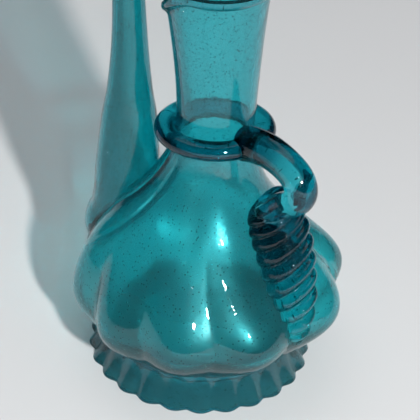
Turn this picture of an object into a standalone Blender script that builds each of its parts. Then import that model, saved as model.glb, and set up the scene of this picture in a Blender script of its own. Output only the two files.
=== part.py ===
"""Glass ewer: a lobed blown vessel with a drawn spout, a neck ring, a looped handle and a crimped foot.

Metres, +Z up, standing on z = 0. The handle points along +X and the spout stands nearly opposite it.
"""

import bisect
import math

import bmesh
import bpy
from mathutils import Matrix, Vector

MM = 0.001
MERGE = 0.00002  # distance within which the turned and welded points become one
SEAT_GAP = 0.0003  # clearance between two pieces of glass that sit together

# Vessel: heights above the table and outer radii, from the base up to the lip
BASE_HEIGHT = 5.5 * MM
BASE_RADIUS = 27.0 * MM
BASE_KICK = 4.0 * MM  # how far the middle of the base is pushed up
WAIST_HEIGHT = 9.0 * MM
WAIST_RADIUS = 31.5 * MM
BELLY_HEIGHT = 36.0 * MM
BELLY_RADIUS = 52.9 * MM
NECK_HEIGHT = 112.0 * MM
NECK_RADIUS = 15.2 * MM
THROAT_HEIGHT = 158.0 * MM
THROAT_RADIUS = 18.7 * MM
LIP_START_HEIGHT = 170.0 * MM
LIP_HEIGHT = 178.0 * MM
LIP_FLARE = 2.8 * MM  # extra spread of the lip beyond the line of the neck
VESSEL_WALL = 2.4 * MM
SHOULDER_FALL = 0.40  # how early the shoulder drops away from the belly
NECK_CURVE = 1.6  # how late the neck opens towards the throat

# Vessel: rows of points up the wall
LIP_ROWS = 2
NECK_ROWS = 3
SHOULDER_ROWS = 7
BELLY_ROWS = 5

# Lobes tooled into the body: their widths in degrees, going round from the first valley
LOBE_WIDTHS = (36, 32, 34, 37, 48, 34, 33, 36, 35, 35)
FIRST_VALLEY = -144.0
POINTS_PER_LOBE = 6
LOBE_DEPTH = 2.6 * MM
LOBE_START_HEIGHT = 10.0 * MM
LOBE_FULL_HEIGHT = 36.0 * MM
LOBE_END_HEIGHT = 78.0 * MM
LOBE_ROUNDNESS = 0.45  # share of a plain wave in the lobe, the rest is a round arc with a sharp valley

# The hot vessel sagged a little out of true in one direction
LEAN_ANGLE = 44.0
SHOULDER_HEIGHT = 60.0 * MM
LEAN_BELLY = 2.7 * MM
LEAN_SHOULDER = -1.2 * MM
LEAN_NECK = 1.2 * MM
LEAN_LIP = -1.7 * MM
BELLY_TILT = 0.06  # rise of the belly per distance in that direction
SHOULDER_TILT = 0.01
NECK_TILT = 0.03

# Foot: a flared skirt with a crimped edge
FOOT_RADIUS = 44.5 * MM
FOOT_HEIGHT = 14.5 * MM
FOOT_TOP_RADIUS = 33.8 * MM
FOOT_TREAD = 6.0 * MM  # width of the flat edge that stands on the table
FOOT_FLARE = 1.25
FOOT_UNDERSIDE = 4.4 * MM  # height of the hollow under the skirt's inner edge
FOOT_INNER_RADIUS = 26.0 * MM
SCALLOPS = 25
SCALLOP_DEPTH = 0.85 * MM
POINTS_PER_SCALLOP = 4
FOOT_ROWS = 3

# Ring of glass wound round the root of the neck
RING_DROP = 5.5 * MM  # how far the ring sits below the neck's narrowest place
RING_HEIGHT = NECK_HEIGHT - RING_DROP
RING_THICKNESS = 9.0 * MM
RING_DEPTH = 7.8 * MM
RING_BITE = 0.9 * MM  # how far the ring is let into the line of the neck
RING_TILT_ALONG = 0.09
RING_SEGMENTS = 30
RING_SIDES = 10

# Spout: how far its axis stands inside the belly's radius, and its outer radius, against the share of its height
SPOUT_ANGLE = 196.0
SPOUT_ROOT_HEIGHT = 34.0 * MM
SPOUT_TIP_HEIGHT = 190.0 * MM
SPOUT_AXIS = ((0.0, 9.3), (0.06, 10.7), (0.14, 14.1), (0.25, 15.5), (0.44, 15.7), (0.74, 13.9), (1.0, 9.5))
SPOUT_RADII = ((0.0, 8.0), (0.06, 13.0), (0.14, 12.8), (0.27, 12.8), (0.41, 11.1), (0.49, 9.1), (0.62, 7.2),
               (0.79, 6.1), (1.0, 5.4))
SPOUT_WALL = 1.6 * MM
SPOUT_HOLE_RADIUS = 8.0 * MM
SPOUT_POINTS = 15
SPOUT_SIDES = 20
BORE_SIDES = 14

# Handle: the loop from the neck ring down to the shoulder, as points out from and up from the middle of the ring
HANDLE_THICKNESS = 12.6 * MM
HANDLE_ROOT_FLARE = 1.12
HANDLE_END_SHARE = 0.80  # thickness left where the loop runs into the tail
HANDLE_LOOP = ((-0.9, 2.0), (4.1, 3.6), (12.1, 4.7), (20.1, 3.5), (26.1, 0.8),
               (28.7, -3.1), (28.1, -7.5), (24.9, -11.7), (19.3, -15.9))
HANDLE_END_REACH = 5.0 * MM  # how far outside the top of the tail's middle the loop ends
HANDLE_END_RISE = -1.5 * MM
HANDLE_POINTS = 16
HANDLE_SIDES = 12

# Crimped tail of the handle: stand off the vessel's wall, height, sideways drift, half width and thickness
TAIL = ((4.1, 84.5, 3.6, 7.8, 6.6), (4.2, 80.5, 4.2, 9.8, 10.0), (3.6, 75.5, 4.6, 10.6, 11.4),
        (2.6, 69.0, 4.5, 10.8, 11.2), (1.0, 62.0, 4.1, 10.4, 10.6), (-0.5, 55.0, 3.4, 9.4, 9.4),
        (-1.3, 48.5, 2.5, 7.6, 7.6), (-1.9, 42.0, 1.4, 5.2, 5.4), (-1.7, 36.0, 0.5, 2.8, 3.2),
        (-0.7, 32.0, 0.0, 1.0, 1.6))
TAIL_RIBS = 11
POINTS_PER_RIB = 4
TAIL_SIDES = 10
RIB_DEPTH = 2.6 * MM
RIB_SLANT = 0.35
TAIL_SQUARENESS = 0.75  # 1 is a round back, less is a flatter one with steeper flanks
TAIL_ROOT_DEPTH = 4.5 * MM  # how far the tail reaches into the vessel's line before it is fitted

GLASS_TEAL = (0.02, 0.30, 0.33, 1.0)
GLASS_DEEP = (0.01, 0.12, 0.15, 1.0)
GLASS_ROUGHNESS = 0.05
SMOOTH_ANGLE = math.radians(40)


def clear_scene():
    """Start from an empty scene."""
    for obj in list(bpy.data.objects):
        bpy.data.objects.remove(obj)


def new_collection(name):
    collection = bpy.data.collections.new(name)
    bpy.context.scene.collection.children.link(collection)
    return collection


def glass(name, color):
    """Teal glass for one piece."""
    material = bpy.data.materials.new(name)
    material.use_nodes = True
    shader = material.node_tree.nodes["Principled BSDF"]
    shader.inputs["Base Color"].default_value = color
    shader.inputs["Roughness"].default_value = GLASS_ROUGHNESS
    shader.inputs["Metallic"].default_value = 0.0
    shader.inputs["Transmission Weight"].default_value = 0.9
    return material


def smoothstep(low, high, value):
    """Ease from 0 at low to 1 at high."""
    t = min(1.0, max(0.0, (value - low) / (high - low)))
    return t * t * (3.0 - 2.0 * t)


def spline_at(keys, values, t):
    """Smooth value at t through a few keyed values, with each slope taken from its neighbours."""
    i = min(len(keys) - 2, max(0, bisect.bisect_right(keys, t) - 1))

    def slope(k):
        low = max(0, k - 1)
        high = min(len(keys) - 1, k + 1)
        return (values[high] - values[low]) / (keys[high] - keys[low])

    span = keys[i + 1] - keys[i]
    u = (t - keys[i]) / span
    start = (1 + 2 * u) * (1 - u) ** 2 * values[i] + u * (1 - u) ** 2 * span * slope(i)
    end = u * u * (3 - 2 * u) * values[i + 1] + u * u * (u - 1) * span * slope(i + 1)
    return start + end


def wall_radius(height):
    """Outer radius of the vessel before the lobes, from the waist to the lip."""
    if height < BELLY_HEIGHT:
        t = (height - WAIST_HEIGHT) / (BELLY_HEIGHT - WAIST_HEIGHT)
        return WAIST_RADIUS + (BELLY_RADIUS - WAIST_RADIUS) * math.sin(math.pi / 2 * max(0.0, t))
    if height < NECK_HEIGHT:
        t = (height - BELLY_HEIGHT) / (NECK_HEIGHT - BELLY_HEIGHT)
        fall = smoothstep(0.0, 1.0, t + SHOULDER_FALL * t * (1 - t))
        return BELLY_RADIUS + (NECK_RADIUS - BELLY_RADIUS) * fall
    t = (height - NECK_HEIGHT) / (THROAT_HEIGHT - NECK_HEIGHT)
    lip = max(0.0, (height - LIP_START_HEIGHT) / (LIP_HEIGHT - LIP_START_HEIGHT))
    return NECK_RADIUS + (THROAT_RADIUS - NECK_RADIUS) * t**NECK_CURVE + LIP_FLARE * lip * lip


def lean_at(height):
    """Sideways drift of the vessel's centre, as a vector."""
    keys = (0.0, BELLY_HEIGHT, SHOULDER_HEIGHT, NECK_HEIGHT, LIP_HEIGHT)
    values = (0.0, LEAN_BELLY, LEAN_SHOULDER, LEAN_NECK, LEAN_LIP)
    drift = spline_at(keys, values, min(height, LIP_HEIGHT))
    angle = math.radians(LEAN_ANGLE)
    return Vector((drift * math.cos(angle), drift * math.sin(angle), 0.0))


def tilt_at(height):
    """Slope of the vessel's level rings at a height, up towards the side it sagged to."""
    keys = (0.0, WAIST_HEIGHT, BELLY_HEIGHT * 0.7, SHOULDER_HEIGHT, NECK_HEIGHT, LIP_HEIGHT)
    values = (0.0, 0.0, BELLY_TILT, SHOULDER_TILT, NECK_TILT, 0.0)
    return spline_at(keys, values, min(height, LIP_HEIGHT))


def valley_angles():
    """Angle of each valley between two lobes, and of the first one again at the end."""
    angles = [FIRST_VALLEY]
    for width in LOBE_WIDTHS:
        angles.append(angles[-1] + width)
    return angles


def lobe_place(turn):
    """Angle and height share of the point a given share of the way round the vessel."""
    count = len(LOBE_WIDTHS)
    position = (turn % 1.0) * count
    lobe = min(count - 1, int(position + 1e-6))
    t = position - lobe
    angle = valley_angles()[lobe] + t * LOBE_WIDTHS[lobe]
    wave = -math.cos(2 * math.pi * t)
    arc = 2 * math.sin(math.pi * max(0.0, t)) - 1
    size = LOBE_WIDTHS[lobe] * count / 360.0
    return angle, size * (LOBE_ROUNDNESS * wave + (1 - LOBE_ROUNDNESS) * arc)


def lobe_strength(height):
    """How strongly the lobes stand out at a height."""
    rise = smoothstep(LOBE_START_HEIGHT, LOBE_FULL_HEIGHT, height)
    fade = 1 - smoothstep(BELLY_HEIGHT, LOBE_END_HEIGHT, height)
    return LOBE_DEPTH * rise * fade**1.3


def evaluated_mesh(obj):
    """The object's mesh with its modifiers applied, in world space."""
    bpy.context.view_layer.update()
    shown = obj.evaluated_get(bpy.context.evaluated_depsgraph_get())
    mesh = bpy.data.meshes.new_from_object(shown)
    mesh.transform(obj.matrix_world)
    return mesh


def as_mesh(obj, collection):
    """Replace an object by a plain welded mesh object of the same name."""
    mesh = evaluated_mesh(obj)
    name = obj.name
    bpy.data.objects.remove(obj)
    welded = bmesh.new()
    welded.from_mesh(mesh)
    bmesh.ops.remove_doubles(welded, verts=welded.verts, dist=MERGE)
    if all(edge.is_manifold for edge in welded.edges):
        bmesh.ops.recalc_face_normals(welded, faces=welded.faces)
    welded.to_mesh(mesh)
    welded.free()
    result = bpy.data.objects.new(name, mesh)
    collection.objects.link(result)
    return result


def turned(name, outline, steps, collection, closed=False):
    """Turn an outline of (radius, height) points about Z; it runs down the outer side, top to bottom."""
    mesh = bpy.data.meshes.new(name)
    edges = [(i, i + 1) for i in range(len(outline) - 1)]
    if closed:
        edges.append((len(outline) - 1, 0))
    mesh.from_pydata([(radius, 0.0, height) for radius, height in outline], edges, [])
    obj = bpy.data.objects.new(name, mesh)
    collection.objects.link(obj)
    screw = obj.modifiers.new("Turn", "SCREW")
    screw.steps = steps
    screw.render_steps = steps
    screw.use_merge_vertices = True
    screw.merge_threshold = MERGE
    return as_mesh(obj, collection)


def tube(name, points, radii, sides, collection):
    """Round bar along a row of points, with a radius at each."""
    curve = bpy.data.curves.new(name, "CURVE")
    curve.dimensions = "3D"
    curve.bevel_depth = 1.0
    curve.bevel_resolution = sides // 2 - 2
    curve.use_fill_caps = True
    spline = curve.splines.new("POLY")
    spline.points.add(len(points) - 1)
    for target, point, radius in zip(spline.points, points, radii):
        target.co = (*point, 1.0)
        target.radius = radius
    obj = bpy.data.objects.new(name, curve)
    collection.objects.link(obj)
    return as_mesh(obj, collection)


def boolean(obj, other, operation):
    """Add an exact Boolean of another object to this one."""
    modifier = obj.modifiers.new(f"{operation.title()} {other.name}", "BOOLEAN")
    modifier.operation = operation
    modifier.solver = "EXACT"
    modifier.object = other


def finish(obj, material):
    """Give a finished piece its material and its shading."""
    obj.data.materials.clear()
    obj.data.materials.append(material)
    obj.data.shade_smooth()
    obj.data.set_sharp_from_angle(angle=SMOOTH_ANGLE)


def vessel_outline(grow=0.0):
    """Outline of the vessel's outer side from the lip down to the middle of the base."""
    heights = []
    stretches = (
        (LIP_HEIGHT, LIP_START_HEIGHT, LIP_ROWS),
        (LIP_START_HEIGHT, NECK_HEIGHT, NECK_ROWS),
        (NECK_HEIGHT, BELLY_HEIGHT, SHOULDER_ROWS),
        (BELLY_HEIGHT, WAIST_HEIGHT, BELLY_ROWS),
    )
    for top, bottom, rows in stretches:
        heights += [top + (bottom - top) * row / rows for row in range(rows)]
    heights.append(WAIST_HEIGHT)
    outline = [(wall_radius(height) + grow, height) for height in heights]
    outline.append((BASE_RADIUS + grow, BASE_HEIGHT - grow))
    outline.append((BASE_RADIUS * 0.5, BASE_HEIGHT + BASE_KICK * 0.35 - grow))
    outline.append((0.0, BASE_HEIGHT + BASE_KICK - grow))
    return outline


def split_quads(obj):
    """Split every quad the same way, so that two forms of the same outline stay parallel."""
    split = bmesh.new()
    split.from_mesh(obj.data)
    bmesh.ops.triangulate(split, faces=split.faces, quad_method="FIXED")
    split.to_mesh(obj.data)
    split.free()


def tool_lobes(obj):
    """Press the lobes into a turned vessel and let it sag out of true."""
    for vertex in obj.data.vertices:
        x, y, height = vertex.co
        radius = math.hypot(x, y)
        angle, share = lobe_place(math.atan2(y, x) / (2 * math.pi))
        spread = smoothstep(0.8 * WAIST_RADIUS, WAIST_RADIUS, radius)
        if height < NECK_HEIGHT:
            radius += lobe_strength(height) * share * spread
        angle = math.radians(angle)
        toward = radius * math.cos(angle - math.radians(LEAN_ANGLE))
        around = Vector((radius * math.cos(angle), radius * math.sin(angle), height + toward * tilt_at(height)))
        vertex.co = around + lean_at(height)
    split_quads(obj)


def vessel_steps():
    return POINTS_PER_LOBE * len(LOBE_WIDTHS)


def make_vessel(collection):
    """The blown vessel: one wall from the lip down to the base."""
    vessel = turned("body", vessel_outline(), vessel_steps(), collection)
    tool_lobes(vessel)
    wall = vessel.modifiers.new("Wall", "SOLIDIFY")
    wall.thickness = VESSEL_WALL
    wall.offset = -1.0
    wall.use_even_offset = True
    return as_mesh(vessel, collection)


def make_vessel_seat(cutters):
    """The vessel's outer form, grown by the seat gap and closed at the top, to fit other pieces to it."""
    outline = vessel_outline(SEAT_GAP)
    outline.insert(0, (0.0, LIP_HEIGHT))
    seat = turned("vessel_seat", outline, vessel_steps(), cutters)
    tool_lobes(seat)
    return seat


def make_foot(collection, seat):
    """The skirt under the body, crimped into scallops at its edge."""
    outline = []
    for row in range(FOOT_ROWS + 1):
        t = row / FOOT_ROWS
        radius = FOOT_TOP_RADIUS + (FOOT_RADIUS - FOOT_TOP_RADIUS) * t**FOOT_FLARE
        outline.append((radius, FOOT_HEIGHT * (1 - t)))
    outline.append((FOOT_RADIUS - FOOT_TREAD, 0.0))
    outline.append((FOOT_INNER_RADIUS, FOOT_UNDERSIDE))
    outline.append((FOOT_INNER_RADIUS, FOOT_HEIGHT))
    foot = turned("foot", outline, SCALLOPS * POINTS_PER_SCALLOP, collection, closed=True)
    for vertex in foot.data.vertices:
        x, y, height = vertex.co
        radius = math.hypot(x, y)
        if radius > FOOT_TOP_RADIUS:
            crimp = 2 * abs(math.cos(SCALLOPS * math.atan2(y, x) / 2)) - 1
            fade = (1 - height / FOOT_HEIGHT) ** 1.5
            scale = 1 + SCALLOP_DEPTH * crimp * fade / radius
            vertex.co.x = x * scale
            vertex.co.y = y * scale
    boolean(foot, seat, "DIFFERENCE")
    return as_mesh(foot, collection)


def ring_reach():
    """Distance of the ring's middle line from the vessel's axis."""
    return wall_radius(RING_HEIGHT) + RING_THICKNESS / 2 - RING_BITE


def ring_solid(name, grow, collection):
    """The wound ring, tilted a little, as a closed solid grown by a clearance."""
    bpy.ops.mesh.primitive_torus_add(
        major_segments=RING_SEGMENTS,
        minor_segments=RING_SIDES,
        major_radius=ring_reach(),
        minor_radius=RING_THICKNESS / 2 + grow,
    )
    ring = bpy.context.object
    ring.name = name
    for owner in list(ring.users_collection):
        owner.objects.unlink(ring)
    collection.objects.link(ring)
    across = Vector((math.cos(math.radians(LEAN_ANGLE)), math.sin(math.radians(LEAN_ANGLE)), 0.0))
    along = Vector((across.y, -across.x, 0.0))
    flatten = (RING_DEPTH / 2 + grow) / (RING_THICKNESS / 2 + grow)
    for vertex in ring.data.vertices:
        level = vertex.co.z * flatten
        level += vertex.co.dot(across) * tilt_at(RING_HEIGHT) + vertex.co.dot(along) * RING_TILT_ALONG
        vertex.co.z = RING_HEIGHT + level
        vertex.co += lean_at(RING_HEIGHT)
    return ring


def make_ring(collection, seat):
    ring = ring_solid("neck_ring", 0.0, collection)
    boolean(ring, seat, "DIFFERENCE")
    return as_mesh(ring, collection)


def spout_axis_at(t):
    """Point on the spout's axis, from 0 below the shoulder to 1 at the tip."""
    keys = [key for key, _ in SPOUT_AXIS]
    reach = BELLY_RADIUS - spline_at(keys, [value * MM for _, value in SPOUT_AXIS], t)
    height = SPOUT_ROOT_HEIGHT + (SPOUT_TIP_HEIGHT - SPOUT_ROOT_HEIGHT) * t
    angle = math.radians(SPOUT_ANGLE)
    return Vector((reach * math.cos(angle), reach * math.sin(angle), height))


def spout_radius_at(t):
    keys = [key for key, _ in SPOUT_RADII]
    return spline_at(keys, [value * MM for _, value in SPOUT_RADII], t)


def make_spout(collection, cutters, seat, vessel):
    """The drawn tube, fitted to the shoulder, and the hole under it in the vessel."""
    shares = [i / SPOUT_POINTS for i in range(SPOUT_POINTS + 1)]
    points = [spout_axis_at(t) for t in shares]
    radii = [spout_radius_at(t) for t in shares]
    spout = tube("spout", points, radii, SPOUT_SIDES, collection)
    past_root = (points[0] - points[1]).normalized() * SPOUT_WALL
    past_tip = (points[-1] - points[-2]).normalized() * SPOUT_WALL
    bore_points = [points[0] + past_root] + points + [points[-1] + past_tip]
    bore_radii = [radius - SPOUT_WALL for radius in [radii[0]] + radii + [radii[-1]]]
    bore = tube("spout_bore", bore_points, bore_radii, BORE_SIDES, cutters)
    boolean(spout, seat, "DIFFERENCE")
    spout = as_mesh(spout, collection)
    boolean(spout, bore, "DIFFERENCE")
    spout = as_mesh(spout, collection)
    hole_points = [point for point in points if point.z < spout_axis_at(0.4).z]
    hole = tube("spout_hole", hole_points, [SPOUT_HOLE_RADIUS] * len(hole_points), BORE_SIDES, cutters)
    boolean(vessel, hole, "DIFFERENCE")
    return spout, as_mesh(vessel, collection)


def handle_point(t):
    """Point on the middle line of the handle's loop, from the ring to the top of the tail."""
    outs = [ring_reach() + point[0] * MM for point in HANDLE_LOOP]
    heights = [RING_HEIGHT + point[1] * MM for point in HANDLE_LOOP]
    tail_top = tail_values(0.0)
    outs.append(tail_top[0] + HANDLE_END_REACH)
    heights.append(tail_top[1] + HANDLE_END_RISE)
    keys = [i / (len(outs) - 1) for i in range(len(outs))]
    return Vector((spline_at(keys, outs, t), 0.0, spline_at(keys, heights, t)))


def tail_values(t):
    """Out, height, drift, half width and thickness of the crimped tail."""
    keys = [i / (len(TAIL) - 1) for i in range(len(TAIL))]
    rows = [(wall_radius(row[1] * MM) + row[0] * MM, *(value * MM for value in row[1:])) for row in TAIL]
    return [spline_at(keys, [row[column] for row in rows], t) for column in range(5)]


def tail_section(t):
    """Ring of points round the tail at one place along it."""
    out, height, drift, half_width, thickness = tail_values(t)
    step = 0.01
    ahead = tail_values(min(1.0, t + step))
    behind = tail_values(max(0.0, t - step))
    along = Vector((ahead[0] - behind[0], 0.0, ahead[1] - behind[1])).normalized()
    outward = Vector((-along.z, 0.0, along.x))
    sideways = Vector((0.0, 1.0, 0.0))
    rib = RIB_DEPTH * abs(math.sin(math.pi * t * TAIL_RIBS)) * min(1.0, thickness / (4 * MM))
    centre = Vector((out, drift, height))
    points = []
    for side in range(TAIL_SIDES):
        turn = 2 * math.pi * side / TAIL_SIDES
        across = (half_width + 0.5 * rib) * math.cos(turn)
        lift = TAIL_ROOT_DEPTH * math.sin(turn)
        if lift > 0:
            lift = (thickness + rib) * math.sin(turn)**TAIL_SQUARENESS
        slant = -along * across * RIB_SLANT
        points.append(centre + sideways * across + outward * lift + slant)
    return points


def loft(name, sections, collection):
    """Closed skin over a row of sections with the same number of points each."""
    built = bmesh.new()
    rings = [[built.verts.new(point) for point in section] for section in sections]
    count = len(sections[0])
    for lower, upper in zip(rings, rings[1:]):
        for i in range(count):
            j = (i + 1) % count
            built.faces.new((lower[i], lower[j], upper[j], upper[i]))
    built.faces.new(list(reversed(rings[0])))
    built.faces.new(rings[-1])
    bmesh.ops.recalc_face_normals(built, faces=built.faces)
    mesh = bpy.data.meshes.new(name)
    built.to_mesh(mesh)
    built.free()
    obj = bpy.data.objects.new(name, mesh)
    collection.objects.link(obj)
    return obj


def make_handle(collection, cutters, seat):
    """The looped bar and its crimped tail, one trail of glass."""
    shares = [i / HANDLE_POINTS for i in range(HANDLE_POINTS + 1)]
    radii = []
    for t in shares:
        flare = 1 + (HANDLE_ROOT_FLARE - 1) * (1 - smoothstep(0.0, 0.35, t))
        flare -= (1 - HANDLE_END_SHARE) * smoothstep(0.6, 0.9, t)
        radii.append(HANDLE_THICKNESS / 2 * flare)
    handle = tube("handle", [handle_point(t) for t in shares], radii, HANDLE_SIDES, collection)
    stations = TAIL_RIBS * POINTS_PER_RIB
    sections = [tail_section(i / stations) for i in range(stations + 1)]
    tail = loft("crimped_tail", sections, cutters)
    ring_seat = ring_solid("ring_seat", SEAT_GAP, cutters)
    boolean(handle, tail, "UNION")
    boolean(handle, ring_seat, "DIFFERENCE")
    boolean(handle, seat, "DIFFERENCE")
    return as_mesh(handle, collection)


def hide_cutters(cutters):
    for obj in cutters.objects:
        obj.hide_render = True
        obj.display_type = "WIRE"


def stand_on_origin(pieces):
    """Move all pieces together so that the origin is the middle of the underside of their box."""
    corners = [vertex.co for piece in pieces for vertex in piece.data.vertices]
    low = Vector([min(corner[axis] for corner in corners) for axis in range(3)])
    high = Vector([max(corner[axis] for corner in corners) for axis in range(3)])
    centre = (low + high) / 2
    for piece in pieces:
        piece.data.transform(Matrix.Translation((-centre.x, -centre.y, -low.z)))


def main():
    clear_scene()
    parts = new_collection("glass_ewer")
    cutters = new_collection("cutters")
    seat = make_vessel_seat(cutters)
    vessel = make_vessel(parts)
    spout, vessel = make_spout(parts, cutters, seat, vessel)
    ring = make_ring(parts, seat)
    handle = make_handle(parts, cutters, seat)
    foot = make_foot(parts, seat)
    finish(vessel, glass("body_glass", GLASS_TEAL))
    finish(spout, glass("spout_glass", GLASS_TEAL))
    finish(ring, glass("ring_glass", GLASS_DEEP))
    finish(handle, glass("handle_glass", GLASS_DEEP))
    finish(foot, glass("foot_glass", GLASS_TEAL))
    hide_cutters(cutters)
    stand_on_origin([vessel, spout, ring, handle, foot])


main()
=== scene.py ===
"""Glass ewer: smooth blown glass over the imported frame, and a plain pale studio.

Metres, +Z up. The vessel's axis stands at axis_place(); the handle points along +X.
"""

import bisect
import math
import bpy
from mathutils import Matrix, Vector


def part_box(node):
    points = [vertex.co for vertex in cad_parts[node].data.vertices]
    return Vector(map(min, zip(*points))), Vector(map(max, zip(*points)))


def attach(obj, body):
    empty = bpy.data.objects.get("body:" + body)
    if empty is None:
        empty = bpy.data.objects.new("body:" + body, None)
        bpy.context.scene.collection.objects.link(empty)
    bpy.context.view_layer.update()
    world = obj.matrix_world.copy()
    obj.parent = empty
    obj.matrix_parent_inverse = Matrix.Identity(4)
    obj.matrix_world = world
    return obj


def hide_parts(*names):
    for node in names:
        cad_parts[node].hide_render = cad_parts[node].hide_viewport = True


bl_info = {
    "name": "Glass ewer",
    "version": (1, 0, 0),
    "blender": (4, 5, 0),
    "location": "View3D > Sidebar > Ewer",
    "description": "Models a lobed glass ewer with spout, neck ring, looped handle and crimped foot",
    "category": "Add Mesh",
}

import bpy
from mathutils import Matrix, Vector, noise

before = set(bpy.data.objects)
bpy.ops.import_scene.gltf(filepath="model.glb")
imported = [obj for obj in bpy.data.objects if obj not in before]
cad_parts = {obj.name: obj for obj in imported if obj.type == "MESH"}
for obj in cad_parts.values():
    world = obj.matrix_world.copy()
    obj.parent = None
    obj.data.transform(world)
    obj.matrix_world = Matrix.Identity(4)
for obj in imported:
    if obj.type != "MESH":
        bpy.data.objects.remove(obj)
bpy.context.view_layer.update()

MM = 0.001
MERGE = 0.00001
FUSE = 0.00010  # how far a hot-joined piece is let into its neighbour

FRONT = -46.0  # direction of the side between spout and handle, in degrees
FRONT_ANGLE = math.radians(FRONT)

# Unevenness of the blown glass, finer than the solids show
RIPPLE = 0.6 * MM
RIPPLES_ROUND = 2.4  # scale of the ripples round the vessel
RIPPLES_UP = 38.0  # scale of the ripples up the vessel, for each metre
SAG = 2.4 * MM  # how far the low belly sagged over the foot, to the front
SAG_FULL_HEIGHT = 28.0 * MM  # above this the sag dies away
THINNING = 1.1 * MM  # how much thinner the blown wall is at the base than at the neck
GATHERED = 1.8 * MM  # how much thicker the low wall is where it sagged
GATHER_COSINES = (0.2, 0.9)  # how near to the front the gathering sets in and is full
GATHER_RISE = (8.0 * MM, 14.0 * MM)
GATHER_END_HEIGHT = 22.0 * MM
UNEVENNESS = 0.3  # share of the lobes' depth that the inner side of the wall doesn't follow

# Folds left in the shoulder where the spout was put on. Each runs from a first to a last point,
# and a point is its angle from the front in degrees and its height in millimetres
FOLDS = (
    ((-47.0, 101.0), (-84.0, 48.0)),
    ((-70.0, 99.0), (-96.0, 62.0)),
    ((80.0, 70.0), (90.0, 38.0)),
)
FOLD_DEPTH = 0.7 * MM
FOLD_WIDTH = 1.4 * MM
FOLD_BEND = 1.4

# Thread wound under the lip: it starts at the left of the front and climbs as it goes round
THREAD_START = -95.0  # degrees from the front
THREAD_START_EASE = (-0.5, 12.0)  # degrees from its start over which it thickens
THREAD_CLIMB_END = 75.0  # degrees from its start over which it climbs
THREAD_LOW = 159.0  # millimetres, as is its climb
THREAD_CLIMB = 13.0
THREAD_HALF_WIDTH = 2.3 * MM
THREAD_CLEAR_HEIGHT = 153.0 * MM  # the neck is plain up to here

# Vessel profile, as in the solids: heights and outer radii
BASE_HEIGHT = 5.5 * MM
BASE_KICK = 4.0 * MM
WAIST_HEIGHT = 9.0 * MM
BELLY_HEIGHT = 36.0 * MM
NECK_HEIGHT = 112.0 * MM
THROAT_HEIGHT = 158.0 * MM
LIP_START_HEIGHT = 170.0 * MM
LIP_HEIGHT = 178.0 * MM
BASE_RADIUS = 27.0 * MM
WAIST_RADIUS = 31.5 * MM
LIP_FLARE = 2.8 * MM
SHOULDER_FALL = 0.40
NECK_CURVE = 1.6
SHOULDER_HEIGHT = 60.0 * MM

LOBE_WIDTHS = (36, 32, 34, 37, 48, 34, 33, 36, 35, 35)
FIRST_VALLEY = -144.0
LOBE_START_HEIGHT = 10.0 * MM
LOBE_FULL_HEIGHT = 36.0 * MM
LOBE_END_HEIGHT = 78.0 * MM
LOBE_ROUNDNESS = 0.35
LOBE_FADE = 1.3

LEAN_ANGLE = math.radians(44.0)
LEANS = ((0.0, 0.0), (36.0, 2.7), (60.0, -1.2), (112.0, 1.2), (178.0, -1.7))
TILTS = ((0.0, 0.0), (9.0, 0.0), (25.2, 0.06), (60.0, 0.01), (112.0, 0.03), (178.0, 0.0))

FOOT_RADIUS = 44.5 * MM
FOOT_HEIGHT = 16.5 * MM
FOOT_TOP_RADIUS = 37.5 * MM
FOOT_TREAD = 6.0 * MM
FOOT_FLARE = 1.4
FOOT_UNDERSIDE = 4.4 * MM
FOOT_INNER_RADIUS = 26.0 * MM
FOOT_UNDER_EDGE = ((0.4, 0.0), (0.7, 0.25), (1.3, 0.8))  # treads in from the edge, and height share
SCALLOPS = 25
SCALLOP_DEPTH = 0.85 * MM
SCALLOP_SOFTNESS = 0.02
SCALLOP_GROWTH = 1.25

RING_DROP = 5.5 * MM
RING_THICKNESS = 9.0 * MM
RING_DEPTH = 7.8 * MM
RING_BITE = 0.9 * MM
RING_TILT_ALONG = 0.09

SPOUT_ANGLE = math.radians(196.0)
SPOUT_ROOT_HEIGHT = 34.0 * MM
SPOUT_TIP_HEIGHT = 190.0 * MM
SPOUT_AXIS = ((0.0, 9.3), (0.06, 10.7), (0.14, 14.1), (0.25, 15.5), (0.44, 15.7), (0.74, 13.9), (1.0, 9.5))
SPOUT_RADII = ((0.0, 8.0), (0.06, 13.0), (0.14, 12.8), (0.27, 12.8), (0.41, 11.1), (0.49, 9.1), (0.62, 7.2),
               (0.79, 6.1), (1.0, 5.4))
SPOUT_HOLE_RADIUS = 8.0 * MM

HANDLE_THICKNESS = 12.6 * MM
HANDLE_ROOT_FLARE = 1.12
HANDLE_END_SHARE = 0.80
HANDLE_LOOP = ((-0.9, 2.0), (4.1, 3.6), (12.1, 4.7), (20.1, 3.5), (26.1, 0.8),
               (28.7, -3.1), (28.1, -7.5), (24.9, -11.7), (19.3, -15.9))
HANDLE_END_REACH = 5.0 * MM
HANDLE_END_RISE = -1.5 * MM
TAIL = ((4.1, 84.5, 3.6, 7.8, 6.6), (4.2, 80.5, 4.2, 9.8, 10.0), (3.6, 75.5, 4.6, 10.6, 11.4),
        (2.6, 69.0, 4.5, 10.8, 11.2), (1.0, 62.0, 4.1, 10.4, 10.6), (-0.5, 55.0, 3.4, 9.4, 9.4),
        (-1.3, 48.5, 2.5, 7.6, 7.6), (-1.9, 42.0, 1.4, 5.2, 5.4), (-1.7, 36.0, 0.5, 2.8, 3.2),
        (-0.7, 32.0, 0.0, 1.0, 1.6))
TAIL_RIBS = 11
RIB_SLANT = 0.35
TAIL_SQUARENESS = 0.75
TAIL_ROOT_DEPTH = 4.5 * MM
TAIL_RIB_ROUNDNESS = 0.8

MELT_GRAIN = 0.45 * MM  # how finely the handle's joints are melted together
LIP_ROUNDING = 0.9 * MM
EDGE_ROUNDING = 0.5 * MM

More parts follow.
